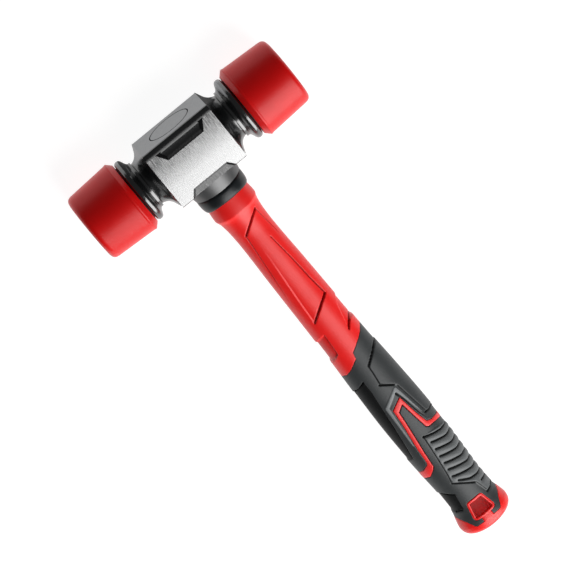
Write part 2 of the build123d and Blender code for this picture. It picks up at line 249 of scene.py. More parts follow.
def depth_inside(across, along, outline):
    """Distance from each place to a closed outline, positive inside it."""
    closed = list(outline) + [outline[0]]
    gap = path_distance(across, along, [(a, b, 0.0) for a, b in closed])[0]
    inside = np.zeros(across.shape, bool)
    for (a0, b0), (a1, b1) in zip(closed, closed[1:]):
        if b0 == b1:
            continue
        crossing = (b0 > along) != (b1 > along)
        inside ^= crossing & (across < a0 + (along - b0) * (a1 - a0) / (b1 - b0))
    return np.where(inside, gap, -gap)


class Relief:
    """What is sunk into or stands up from a laid-out surface: its lift, its painted shade, and how much it
    is painted lighter.
    """

    def __init__(self, across, along):
        self.across, self.along = across, along
        self.lift = np.zeros(across.shape)
        self.cut = np.zeros(across.shape)
        self.light = np.zeros(across.shape)

    def groove(self, path, depth=0.6, edge=0.22, laid_out=False):
        """A groove along (x, distance, width) points, which may be laid out flat already, with painted
        shade in it.
        """
        gap, width = path_distance(self.across, self.along, path if laid_out else unrolled(path))
        share = soft_step((width / 2 + edge - gap) / (2 * edge)) * np.clip(width / 0.45, 0, 1)
        self.lift -= share * depth * np.clip(width / 0.9, 0.35, 1)
        self.cut = np.maximum(self.cut, share)

    def ridge(self, path, height=0.35, edge=0.3, light=1.0):
        """A flat-topped ridge along (x, distance, width) points, painted lighter by light as a highlight.
        """
        gap, width = path_distance(self.across, self.along, unrolled(path))
        share = soft_step((width / 2 + edge - gap) / (2 * edge))
        self.lift += share * height
        self.light = np.maximum(self.light, share * light)

    def panel(self, outline, height, bevel=0.7, light=0.0, shade=None, dark=0.0):
        """A panel that stands up, or is sunk if its height is negative, with a sloping edge, painted darker
        as shade by dark and lighter by light.
        """
        share = soft_step(depth_inside(self.across, self.along, unrolled(outline)) / bevel + 0.5)
        if shade is not None:
            share = share * shade(self.across, self.along)
        self.lift += share * height
        self.light = np.maximum(self.light, share * light)
        self.cut = np.maximum(self.cut, share * dark)
        return share


# ---------------------------------------------------------------- meshes
def new_piece(name, points, faces, materials, smooth_angle=None, **values):
    """A smooth-shaded object from points in metres, with a value for each point under each name."""
    mesh = bpy.data.meshes.new(name)
    mesh.from_pydata([tuple(p) for p in np.asarray(points, float)], [], [tuple(f) for f in faces])
    for attribute, numbers in values.items():
        data = mesh.attributes.new(attribute, "FLOAT", "POINT").data
        data.foreach_set("value", np.asarray(numbers, np.float32))
    mesh.validate()
    work = bmesh.new()
    work.from_mesh(mesh)
    bmesh.ops.recalc_face_normals(work, faces=work.faces)
    work.to_mesh(mesh)
    work.free()
    for material in materials:
        mesh.materials.append(material)
    mesh.polygons.foreach_set("use_smooth", [True] * len(mesh.polygons))
    if smooth_angle:
        mesh.set_sharp_from_angle(angle=math.radians(smooth_angle))
    piece = bpy.data.objects.new(name, mesh)
    bpy.context.scene.collection.objects.link(piece)
    return piece


def ring_faces(rows, columns, start=0, closed_rows=False):
    """Faces between rows of points, each a closed ring. closed_rows joins the last row to the first."""
    faces = []
    for row in range(rows if closed_rows else rows - 1):
        low, high = start + row * columns, start + (row + 1) % rows * columns
        for column in range(columns):
            beside = (column + 1) % columns
            faces.append((low + column, low + beside, high + beside, high + column))
    return faces


def turned(profile, side, segments=192, start=0):
    """Points and faces of a ring turned about the head's axis from (x, radius) points in millimetres."""
    angle = np.linspace(0, 2 * math.pi, segments, endpoint=False)
    x, radius = np.array(profile, float).T
    x, radius = x[:, None], radius[:, None]
    points = world(side * x + 0 * angle, -radius * np.cos(angle), radius * np.sin(angle)).reshape(-1, 3)
    return points, ring_faces(len(profile), segments, start)


def rounded(points, radii, steps=5):
    """An open line of (x, y) points whose corners are replaced by arcs of the given radii."""
    out = [points[0]]
    for before, corner, after, radius in zip(points, points[1:], points[2:], radii):
        before, corner, after = Vector(before), Vector(corner), Vector(after)
        into, out_of = (corner - before).normalized(), (after - corner).normalized()
        turn = into.angle(out_of, 0.0)
        if turn < 1e-3 or radius <= 0:
            out.append(tuple(corner))
            continue
        reach = radius * math.tan(turn / 2)
        first, last = corner - into * reach, corner + out_of * reach
        for k in range(steps + 1):
            t = k / steps
            out.append(tuple((1 - t) ** 2 * first + 2 * t * (1 - t) * corner + t * t * last))
    out.append(points[-1])
    return out


# ---------------------------------------------------------------- materials
def linear(colour):
    """An sRGB hex colour such as "#A01010" as linear red, green, blue and alpha."""
    shares = [int(colour[k : k + 2], 16) / 255 for k in (1, 3, 5)]
    return [s / 12.92 if s <= 0.04045 else ((s + 0.055) / 1.055) ** 2.4 for s in shares] + [1.0]


def per_mm(size):
    """The texture scale whose features are this many millimetres across."""
    return 1 / (size * MM)


def add_node(tree, kind, values=None, links=None, **settings):
    """Adds a node, sets its inputs, links other nodes' outputs to its inputs, and sets its options."""
    node = tree.nodes.new(kind)
    for option, setting in settings.items():
        setattr(node, option, setting)
    for socket, value in (values or {}).items():
        node.inputs[socket].default_value = value
    for socket, (source, output) in (links or {}).items():
        tree.links.new(source.outputs[output], node.inputs[socket])
    return node


def new_material(name, colour, roughness, metallic=0.0, **sockets):
    """A material with one Principled shader, and its tree and shader."""
    material = bpy.data.materials.new(name)
    material.use_nodes = True
    tree = material.node_tree
    shader = tree.nodes["Principled BSDF"]
    shader.inputs["Base Color"].default_value = linear(colour)
    shader.inputs["Roughness"].default_value = roughness
    shader.inputs["Metallic"].default_value = metallic
    for socket, value in sockets.items():
        shader.inputs[socket.replace("_", " ")].default_value = value
    return material, tree, shader


def noise_at(tree, size, stretch=(1, 1, 1), detail=2.0, roughness=0.5):
    """Noise whose features are about this many millimetres across, drawn out along the axes."""
    coords = add_node(tree, "ShaderNodeTexCoord")
    squeezed = add_node(
        tree, "ShaderNodeMapping", {"Scale": [1 / s for s in stretch]}, {"Vector": (coords, "Object")}
    )
    return add_node(
        tree,
        "ShaderNodeTexNoise",
        {"Scale": per_mm(size), "Detail": detail, "Roughness": roughness},
        {"Vector": (squeezed, "Vector")},
    )


def spread(tree, source, output, low, high, from_low=0.3, from_high=0.7):
    """Maps a node's output from one range to another."""
    return add_node(
        tree,
        "ShaderNodeMapRange",
        {"From Min": from_low, "From Max": from_high, "To Min": low, "To Max": high},
        {"Value": (source, output)},
    )


def blend_colours(tree, factor, first, second, source=None):
    """Mixes two colours by a (node, output) factor. source replaces the first colour with a node's."""
    mix = add_node(tree, "ShaderNodeMix", data_type="RGBA")
    mix.inputs[6].default_value, mix.inputs[7].default_value = linear(first), linear(second)
    tree.links.new(factor[0].outputs[factor[1]], mix.inputs[0])
    if source:
        tree.links.new(source.outputs[2], mix.inputs[6])
    return mix


def moulded(name, colour, worn, painted_shade_colour, roughness, grain, bump, painted_light_colour=None, **sockets):
    """A moulded or oxidised surface: cloudy colour, painted shade with less shine in grooves and recesses,
    places painted lighter, uneven gloss and a fine grain.

    A real grain is about a tenth of a millimetre, too fine to show, so it is drawn coarser.
    """
    material, tree, shader = new_material(name, colour, roughness, **sockets)
    cloud = noise_at(tree, 9.0, detail=3.0)
    colours = blend_colours(tree, (spread(tree, cloud, "Fac", 0.0, 1.0), "Result"), colour, worn)
    # painted light: the light attribute mixes in a lighter colour, a highlight on the grip's raised frame
    if painted_light_colour:
        light = add_node(tree, "ShaderNodeAttribute", attribute_name="light")
        colours = blend_colours(tree, (light, "Fac"), colour, painted_light_colour, colours)
    # painted shade: this attribute darkens grooves, recesses and seams, and takes their shine away
    cut = add_node(tree, "ShaderNodeAttribute", attribute_name="cut")
    colours = blend_colours(tree, (cut, "Fac"), colour, painted_shade_colour, colours)
    tree.links.new(colours.outputs[2], shader.inputs["Base Color"])
    shine = spread(tree, cut, "Fac", sockets.get("Specular_IOR_Level", 0.5), 0.08, 0.0, 1.0)
    tree.links.new(shine.outputs["Result"], shader.inputs["Specular IOR Level"])
    fine = noise_at(tree, grain, detail=2.0)
    gloss = spread(tree, fine, "Fac", roughness - 0.05, roughness + 0.07)
    tree.links.new(gloss.outputs["Result"], shader.inputs["Roughness"])
    relief = add_node(
        tree, "ShaderNodeBump", {"Strength": 0.35, "Distance": bump * MM}, {"Height": (fine, "Fac")}
    )
    tree.links.new(relief.outputs["Normal"], shader.inputs["Normal"])
    return material


def plain_metal(name, colour, roughness, grain, stretch=(1, 1, 1), bump=0.004, uneven=0.06, dark=None):
    """A metal with its finishing marks in gloss and height, which are drawn coarser than real ones."""
    material, tree, shader = new_material(name, colour, roughness, metallic=1.0)
    marks = noise_at(tree, grain, stretch, detail=3.0)
    gloss = spread(tree, marks, "Fac", roughness - uneven, roughness + uneven)
    tree.links.new(gloss.outputs["Result"], shader.inputs["Roughness"])
    colours = blend_colours(tree, (spread(tree, marks, "Fac", 0.0, 1.0), "Result"), colour, dark or colour)
    tree.links.new(colours.outputs[2], shader.inputs["Base Color"])
    relief = add_node(
        tree, "ShaderNodeBump", {"Strength": 0.4, "Distance": bump * MM}, {"Height": (marks, "Fac")}
    )
    tree.links.new(relief.outputs["Normal"], shader.inputs["Normal"])
    return material


def cast_polyurethane(colours):
    """Cast polyurethane, demoulded and left: deep red, satin, with a soft wide highlight."""
    return moulded(
        "polyurethane_cast_satin", colours.face, "#D40808", "#7A0000", 0.36, 0.5, 0.01,
        Specular_IOR_Level=0.3,
    )


def moulded_polypropylene(colours):
    """Injection moulded polypropylene: bright even red, satin, a faint sparked texture."""
    return moulded("polypropylene_moulded_satin", colours.sleeve, "#F01512", "#8A0404", 0.4, 0.45, 0.012)


def moulded_butt(colours):
    """Injection moulded polypropylene of the butt: the sleeve's red, a little glossier."""
    return moulded("polypropylene_moulded_butt", colours.butt, "#E61411", "#E81010", 0.36, 0.45, 0.01)


def moulded_rubber(colours):
    """Overmoulded thermoplastic rubber with a spark-eroded finish: charcoal, matt, fine even grain, with a
    painted highlight in lighter grey on its raised frame.
    """
    return moulded(
        "thermoplastic_rubber_sparked", colours.grip, "#292C2D", "#040404", 0.5, 0.4, 0.02,
        painted_light_colour=colours.frame,
    )


def moulded_inlay(colours):
    """Second-shot thermoplastic rubber: coral red, satin."""
    return moulded("thermoplastic_rubber_red", colours.inlay, "#E62423", "#8A0404", 0.42, 0.45, 0.012)


def collar_rubber():
    """Moulded nitrile rubber: near black, satin, with a bloom that turns it grey in the light."""
    return moulded(
        "nitrile_rubber_moulded", "#0E1214", "#101518", "#050505", 0.36, 0.4, 0.006, Specular_IOR_Level=0.36
    )


def black_oxide():
    """Hot black oxide on forged steel, oiled: near black, with sharp cool highlights.

    The eye sees the oxide's skin and not the metal, so it isn't metallic, and its index of refraction
    is that of iron oxide under oil.
    """
    return moulded("steel_black_oxide_oiled", "#0A0B0C", "#0D0F10", "#020202", 0.2, 0.3, 0.004, IOR=2.1)


def oxide_turned():
    """Black oxide on the turned boss: dark grey, with soft bright and dark bands along the handle."""
    return moulded("steel_black_oxide_turned", "#161718", "#1C1D1E", "#020202", 0.46, 0.3, 0.004, IOR=2.1)


def oxide_painted_shade():
    """Black oxide painted as shade on the upper slopes that face right: dark grey and dull, without
    highlights.
    """
    return moulded(
        "steel_black_oxide_painted_shade", "#1C1D1E", "#141516", "#020202", 0.6, 0.3, 0.004, Specular_IOR_Level=0.2
    )


def oxide_in_seam():
    """Black oxide deep in a seam, where no light reaches: black and dull."""
    return moulded(
        "steel_black_oxide_seam", "#050505", "#080808", "#020202", 0.8, 0.3, 0.004, Specular_IOR_Level=0.1
    )


def ground_and_painted_reflection():
    """Surface-ground steel: even mid grey, fine lines along the head. On the upper slopes that face left it
    is a painted reflection.
    """
    stretch = (14, 1, 1)
    return plain_metal("steel_ground_and_painted_reflection", "#8B8C8D", 0.42, 0.16, stretch, bump=0.002, dark="#7F8082")


def ground_pocket():
    """Ground steel of the lower pockets: glossier than the top, with fine lines along the handle."""
    stretch = (1, 20, 1)
    return plain_metal("steel_ground_bright", "#787878", 0.3, 0.25, stretch, bump=0.003, dark="#585858")


def polished_cheek():
    """Belt-polished steel: bright silver with short strokes along the handle, and painted shade in streaks
    that darkens it below the pocket.

    A real belt leaves strokes of a few hundredths of a millimetre, too fine to show, so they are wider.
    """
    material, tree, shader = new_material("steel_belt_polished", "#DADADA", 0.26, metallic=1.0)
    strokes = noise_at(tree, 0.22, (1, 40, 1), detail=3.0, roughness=0.6)
    tips = noise_at(tree, 0.7, (1, 7, 1), detail=3.0)
    coords = add_node(tree, "ShaderNodeTexCoord")
    place = add_node(tree, "ShaderNodeSeparateXYZ", links={"Vector": (coords, "Object")})
    painted_shade_upward = add_node(
        tree,
        "ShaderNodeMapRange",
        {"From Min": AXIS_Y - 6 * MM, "From Max": AXIS_Y + 11 * MM, "To Min": 0.0, "To Max": 1.0},
        {"Value": (place, "Y")},
    )
    # painted shade: the cheek grows darker towards the top of the head, broken into streaks
    dull = add_node(
        tree,
        "ShaderNodeMath",
        links={0: (painted_shade_upward, "Result"), 1: (spread(tree, tips, "Fac", 0.5, 1.0), "Result")},
        operation="MULTIPLY",
    )
    bright = blend_colours(tree, (spread(tree, strokes, "Fac", 0.0, 1.0), "Result"), "#C8C8C8", "#BEBEBE")
    colours = blend_colours(tree, (dull, "Value"), "#C8C8C8", "#545454", bright)
    tree.links.new(colours.outputs[2], shader.inputs["Base Color"])
    gloss = spread(tree, strokes, "Fac", 0.24, 0.3)
    tree.links.new(gloss.outputs["Result"], shader.inputs["Roughness"])
    relief = add_node(
        tree, "ShaderNodeBump", {"Strength": 0.3, "Distance": 0.0015 * MM}, {"Height": (strokes, "Fac")}
    )
    tree.links.new(relief.outputs["Normal"], shader.inputs["Normal"])
    return material


def zinc_plate(name):
    """Turned steel with clear zinc plate: pale, slightly blue, fine rings from the tool."""
    return plain_metal(name, "#C3C7CB", 0.3, 0.12, stretch=(1, 6, 6), bump=0.003, dark="#AEB3B8")


def cast_shot():
    """Cast steel shot: dull grey with darker scale."""
    return plain_metal("steel_shot_cast", "#8A8B8D", 0.48, 0.6, bump=0.02, dark="#55575A")


def fibre_washer():
    """Vulcanised fibre, punched: dull brown-black with a paper grain, which takes the shine off."""
    return moulded("vulcanised_fibre", "#2B2320", "#211A17", "#101010", 0.7, 0.3, 0.02)


def seal_rubber():
    """Moulded nitrile O-ring: black and slightly oily."""
    return moulded("nitrile_rubber_seal", "#0D0D0D", "#121212", "#050505", 0.3, 0.5, 0.005)


def glass_fibre():
    """Pultruded glass fibre in polyester: straw yellow with long pale rovings down the rod."""
    material, tree, shader = new_material("glass_fibre_pultruded", "#CDBE8C", 0.5)
    rovings = noise_at(tree, 0.8, (1, 60, 1), detail=4.0)
    colours = blend_colours(tree, (spread(tree, rovings, "Fac", 0.0, 1.0), "Result"), "#D8CC9E", "#A8965F")
    tree.links.new(colours.outputs[2], shader.inputs["Base Color"])
    return material


def epoxy():
    """Cast epoxy bond: amber, glossy, with fine bubbles."""
    return moulded("epoxy_cast", "#8A6A35", "#6E5226", "#302000", 0.2, 0.7, 0.01)


def pale_floor(settings):
    """Opal acrylic light table: an even white glow, matt, with only a faint shadow under the mallet."""
    material, tree, shader = new_material(
        "acrylic_opal_lit", settings.floor_colour, 0.9, Emission_Strength=settings.floor_glow,
        Emission_Color=(1.0, 1.0, 1.0, 1.0),
    )
    fibre = noise_at(tree, 1.5, detail=2.0)
    relief = add_node(
        tree, "ShaderNodeBump", {"Strength": 0.05, "Distance": 0.05 * MM}, {"Height": (fibre, "Fac")}
    )
    tree.links.new(relief.outputs["Normal"], shader.inputs["Normal"])
    return material


# ---------------------------------------------------------------- settings a user may change
class MalletColours(bpy.types.PropertyGroup):
    """Colours of the mallet's plastics and rubbers, as sRGB hex values."""

    face: StringProperty(name="Faces", description="Polyurethane of the striking faces", default="#DC0A0A")
    sleeve: StringProperty(name="Sleeve", description="Moulded sleeve of the handle", default="#F61814")
    butt: StringProperty(name="Butt", description="Moulded butt of the handle", default="#EE1613")
    grip: StringProperty(name="Grip", description="Rubber of the grip", default="#2F3233")
    # The frame colour is a painted highlight, full on the grip's raised frame and partly on its ribbed
    # panel.
    frame: StringProperty(name="Grip frame", description="Raised frame on the grip", default="#7C7F80")
    inlay: StringProperty(name="Inlay", description="Rubber band let into the grip", default="#F5302F")


class MalletStage(bpy.types.PropertyGroup):
    """The floor, the lights and the camera."""

    floor_colour: StringProperty(name="Floor", description="Colour of the light table", default="#808080")
    floor_size: FloatProperty(
        name="Floor size", description="Side of the floor", default=6.0, subtype="DISTANCE"
    )
    camera_distance: FloatProperty(
        name="Camera distance", description="From the camera to its aim", default=1.5, subtype="DISTANCE"
    )
    camera_tilt: FloatProperty(
        name="Camera tilt", description="Lean of the view towards the head", default=math.radians(21.23),
        subtype="ANGLE",
    )
    camera_swing: FloatProperty(
        name="Camera swing", description="Lean of the view to the right", default=math.radians(-0.27),
        subtype="ANGLE",
    )
    camera_roll: FloatProperty(
        name="Camera roll", description="How far the picture is turned", default=math.radians(39.3),
        subtype="ANGLE",
    )
    camera_lens: FloatProperty(
        name="Lens", description="Focal length in mm", default=165.7, subtype="DISTANCE_CAMERA"
    )
    camera_aim: FloatVectorProperty(
        name="Aim", description="Aim point from the middle of the mallet",
        default=(-0.0059, 0.0304, -0.0118), subtype="TRANSLATION",
    )
    floor_glow: FloatProperty(name="Floor glow", description="Light given off by the floor", default=0.93)
    key_power: FloatProperty(
        name="Key light", description="Power of the soft box", default=31.0, unit="POWER"
    )
    sky: FloatProperty(name="Room light", description="Even light from all round", default=0.08)


class MalletDetail(bpy.types.PropertyGroup):
    """Sizes of the finishing details, in millimetres."""

    row_step: FloatProperty(name="Row step", description="Spacing of the handle's rows in mm", default=0.42)
    seam: FloatProperty(name="Seam", description="Rounding where two mouldings meet, in mm", default=0.3)
    edge: FloatProperty(name="Head edge", description="Rounding of the head's edges in mm", default=0.32)
    inlay_gap: FloatProperty(name="Inlay gap", description="Gap round the inlay in mm", default=0.14)
    threads: IntProperty(name="Thread steps", description="Mesh rows in one thread", default=10)


# ---------------------------------------------------------------- the handle's pattern
# Points are (mm across, mm below the head's axis), seen from the front.
GRIP_TOP = [
    (14.1, 142.2), (12.3, 143.2), (10.1, 144.7), (7.3, 146.2), (2.4, 148.7), (-0.9, 150.6),
    (-1.8, 154.7), (-3.9, 155.9), (-6.7, 157.9), (-8.9, 159.4), (-11.7, 161.0), (-14.0, 161.9),
]
GRIP_FOOT = [
    (15.3, 277.4), (14.0, 278.5), (12.5, 279.9), (9.4, 285.1), (8.6, 285.6), (-8.6, 285.6), (-9.5, 285.1),
    (-12.2, 280.3), (-13.8, 278.5), (-15.2, 277.2),
]
INLAY_UPPER = [
    (-15.4, 240.1), (-12.3, 237.8), (-8.7, 235.0), (-8.0, 233.2), (-7.3, 222.6), (-6.3, 214.5),
    (-4.9, 203.3), (-4.2, 193.9), (3.7, 189.7), (5.5, 203.4), (7.3, 212.3), (9.9, 214.1), (15.6, 217.6),
]
INLAY_LOWER = [
    (-15.4, 245.0), (-11.5, 243.4), (-7.9, 239.7), (-6.5, 237.8), (-5.5, 227.2), (-4.1, 215.9),
    (-3.0, 206.3), (-2.1, 196.9), (2.3, 194.1), (4.1, 207.9), (5.1, 214.4), (6.3, 215.6), (15.6, 220.9),
]
HOLE = [(-4.1, 271.2), (4.1, 271.2), (6.1, 280.7), (-6.1, 280.7)]
HOLE_BORDER = 1.65
STEM_HALF = 3.6
RIBS = [
    [(-0.1, 218.4), (5.6, 220.8), (10.7, 223.0), (15.6, 225.4)],
    [(1.6, 224.1), (10.7, 228.3), (15.5, 229.6)],
    [(1.1, 229.3), (10.8, 233.9), (15.3, 235.0)],
    [(0.4, 234.6), (10.8, 239.1), (15.1, 240.3)],
    [(0.0, 239.8), (10.8, 244.7), (14.8, 245.6)],
    [(-0.7, 244.6), (10.9, 250.0), (14.6, 251.1)],
    [(-1.4, 249.9), (10.9, 255.4), (14.4, 256.5)],
    [(0.0, 254.4), (5.8, 258.6), (11.0, 260.8), (14.2, 262.0)],
    [(10.3, 265.4), (14.1, 267.2)],
]


# How a moulding's end turns in at a seam: share of the seam's rounding, and millimetres inwards.
TURN_IN = [(0.55, 0.06), (0.85, 0.2), (1.0, 0.4), (1.0, 1.2), (1.0, 2.0)]
CHANNEL_DEPTH = 0.9  # of the inlay's channel and of the seat of the hang hole's frame


def turned_in(edge, seam):
    """Rows where a moulding turns in at an edge, outermost first, and how far in each one is."""
    share, inward = np.array(TURN_IN).T[:, :, None]
    return edge + seam * (1 - share), inward + 0 * edge


def edge_along(points, turn):
    """Where a line across the front lies at each place round the handle."""
    flat = sorted(unrolled(points))
    return np.interp(folded(turn), [a for a, b in flat], [b for a, b in flat])


def line(points, width):
    """A groove's points, all of one width."""
    return [(x, distance, width) for x, distance in points]


def sleeve_relief(across, along):
    """The sleeve's panels and grooves, at laid-out places."""
    relief = Relief(across, along)
    # the long panel, which sinks towards its foot
    relief.panel(
        [
            (-2.4, 61.0), (4.7, 66.2), (6.5, 85.6), (7.3, 99.0), (8.7, 113.0), (-7.1, 122.9), (-5.9, 104.7),
            (-4.6, 89.7),
        ],
        -0.55,
        bevel=0.9,
        shade=lambda a, s: soft_step((s - 62) / 45),
    )
    # a sunk recess on the left, painted a little darker as shade
    relief.panel(
        [
            (-7.2, 132.2), (-8.3, 145.7), (-8.5, 146.5), (-11.7, 149.6), (-20, 150.2), (-20, 135.7),
            (-13, 135.7),
        ],
        -0.85,
        dark=0.3,
    )
    relief.panel(
        [(20, 119.5), (13.0, 120.0), (9.8, 124.0), (6.1, 138.4), (10.1, 134.9), (20, 132.9)],
        -0.7,
        bevel=1.4,
    )
    relief.groove([(-6.1, 57.2, 1.1), (8.1, 47.7, 1.1)], depth=0.8)
    relief.groove([(8.1, 48.8, 0.6), (9.3, 64.3, 0.5), (9.9, 71.9, 0.1)])
    relief.groove([(-6.1, 58.3, 0.6), (-7.7, 75.5, 0.55), (-8.6, 86.1, 0.45), (-10.7, 109.1, 0.15)])
    relief.groove([(4.7, 66.2, 0.6), (6.5, 85.6, 0.6), (7.3, 99.0, 0.65), (8.7, 113.0, 0.8)])
    relief.groove([(8.7, 113.0, 1.1), (-7.1, 122.9, 1.1)], depth=0.8)
    relief.groove([(13.3, 133.8, 1.1), (10.1, 134.9, 1.1), (6.1, 138.4, 1.0)], depth=0.8)
    relief.groove([(-7.2, 132.2, 0.5), (-8.3, 145.7, 0.8), (-8.5, 146.5, 0.8), (-10.4, 148.4, 0.5)])
    return relief


def grip_relief(across, along):
    """The grip's panels, ribs, raised frame and grooves, at laid-out places."""
    relief = Relief(across, along)
    # the panel on the right, and the sunk one on the left, which is painted darker as shade
    relief.panel(
        [
            (20, 155.5), (14.2, 156.1), (10.9, 156.8), (7.4, 158.8), (1.3, 162.6), (0.6, 167.6),
            (-0.3, 175.2), (5.8, 181.7), (7.2, 183.5), (8.3, 191.4), (10.7, 207.6), (12.8, 209.4),
            (20, 212),
        ],
        0.45,
    )
    relief.panel(
        [
            (-20, 174.5), (-14.1, 173.3), (-11.7, 172.1), (-7.1, 169.2), (-7.1, 177.3), (-8.1, 186.8),
            (-9.9, 204.3), (-11.6, 219.1), (-12.7, 227.7), (-20, 229),
        ],
        -0.5,
        bevel=0.4,
        dark=0.85,
    )
    # a sunk panel low on the left, painted darker as shade
    relief.panel(
        [(-20, 256.8), (-14, 257.6), (-10.1, 259.2), (-7.2, 261.1), (-8.6, 271.6), (-20, 273)],
        -0.5,
        dark=0.85,
    )
    # the ribbed panel stands up a little, and is painted partly lighter
    ribbed = relief.panel(
        [
            (20, 226), (-0.1, 218.0), (-0.8, 226.9), (-1.8, 236.6), (-2.9, 246.3), (-4.1, 253.3),
            (6.6, 262.6), (9.1, 272.6), (20, 273),
        ],
        0.15,
        light=0.42,
    )
    ribs = [rounded(unrolled(rib)[::3], [11.0, 11.0], 8) for rib in RIBS]
    gaps = [path_distance(across, along, line(rib, 0.0))[0] for rib in ribs]
    relief.lift += ribbed * 0.4 * soft_step(np.minimum.reduce(gaps) / 2.4)
    # the raised frame, painted lighter as a highlight
    relief.ridge(
        [
            (-7.7, 219.5, 0.5), (-6.6, 202.0, 1.2), (-5.9, 190.8, 1.8), (4.7, 184.2, 1.8),
            (5.9, 190.0, 1.5), (7.2, 198.0, 0.9), (8.6, 206.0, 0.2),
        ],
        height=0.25,
        edge=0.2,
        light=1.0,
    )
    for rib in ribs:
        relief.groove(line(rib, 1.05), depth=0.85, laid_out=True)
    thick = [
        [(15.0, 155.9), (10.9, 156.8), (7.4, 158.8), (1.3, 162.6)],
        [(-1.0, 176.0), (5.8, 181.7)],
        [(9.8, 208.3), (12.8, 209.4), (15.6, 210.8)],
        [(-14.1, 173.3), (-11.7, 172.1), (-7.1, 169.2)],
        [(-4.3, 253.5), (6.6, 262.6)],
        [(8.8, 272.8), (11.8, 272.9), (14.6, 273.0)],
        [(-14.0, 257.6), (-10.1, 259.2), (-7.2, 261.1)],
        [(-12.9, 272.9), (-9.3, 272.6)],
    ]
    for points in thick:
        relief.groove(line(points, 0.95), depth=0.7)
    thin = [
        [(1.0, 163.0), (0.6, 167.6), (-0.3, 175.2)],
        [(7.2, 183.5), (8.3, 191.4), (10.7, 207.6)],
        [
            (-7.1, 169.2), (-7.1, 177.3), (-8.1, 186.8), (-8.8, 193.1), (-9.9, 204.3), (-11.6, 219.1),
            (-12.7, 227.7),
        ],
        [(-0.1, 218.4), (-0.8, 226.9), (-1.8, 236.6), (-2.9, 246.3), (-3.9, 252.9)],
        [(7.3, 263.2), (9.1, 271.4)],
        [(-7.2, 261.1), (-8.6, 271.6)],
    ]
    for points in thin:
        relief.groove(line(points, 0.5), depth=0.55)
    relief.groove([(3.3, 186.3, 0.8), (5.0, 192.3, 0.7), (7.2, 205.4, 0.6), (8.6, 210.5, 0.2)])
    return relief


class MALLET_OT_sleeve(bpy.types.Operator):
    """Builds the red sleeve, from under the collar to the top of the grip"""

    bl_idname = "mallet.sleeve"
    bl_label = "Sleeve"

    def execute(self, context):
        detail = context.scene.mallet_detail
        turn = np.linspace(-math.pi, math.pi, RING, endpoint=False)
        edge = edge_along(GRIP_TOP, turn)
        top = HANDLE[0][0]
        rows = int((edge.mean() - top) / detail.row_step)
        share = np.linspace(0, 1, rows)[:, None]
        # rows follow the collar's foot at the top, and the grip's edge at the bottom
        tuck, below_collar, straight_to, blend = 0.3, 7.0, 118.0, 26.0
        distance = top + share * (edge.mean() - top)
        near_collar = 1 - soft_step((distance - top) / below_collar)
        distance = distance + (collar_foot(turn) - tuck - top) * near_collar
        near_grip = soft_step((distance - straight_to) / blend)
        distance = distance + (edge - detail.seam - edge.mean()) * near_grip
        turns = np.broadcast_to(turn, distance.shape)
        relief = sleeve_relief(folded(turns), distance)
        lift, cut = relief.lift, relief.cut
        # the moulding's end turns in under the grip, and its top turns in under the collar; the rows that
        # turn in under the grip are painted dark as shade
        lower, inward = turned_in(edge, -detail.seam)
        distance = np.vstack([distance[:1], distance, lower])
        lift = np.vstack([lift[:1] - 3.0, lift, lift[-1] - inward])
        cut = np.vstack([cut[:1], cut, np.clip(inward * 2.0, 0, 1)])
        points = on_handle(np.broadcast_to(turn, distance.shape), distance, lift).reshape(-1, 3)
        piece = new_piece(
            "sleeve_moulding", points, ring_faces(len(distance), RING),
            [moulded_polypropylene(context.scene.mallet_colours)], cut=cut.ravel(),
        )
        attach(piece, "head_and_handle")
        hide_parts("handle_sleeve")
        return {"FINISHED"}


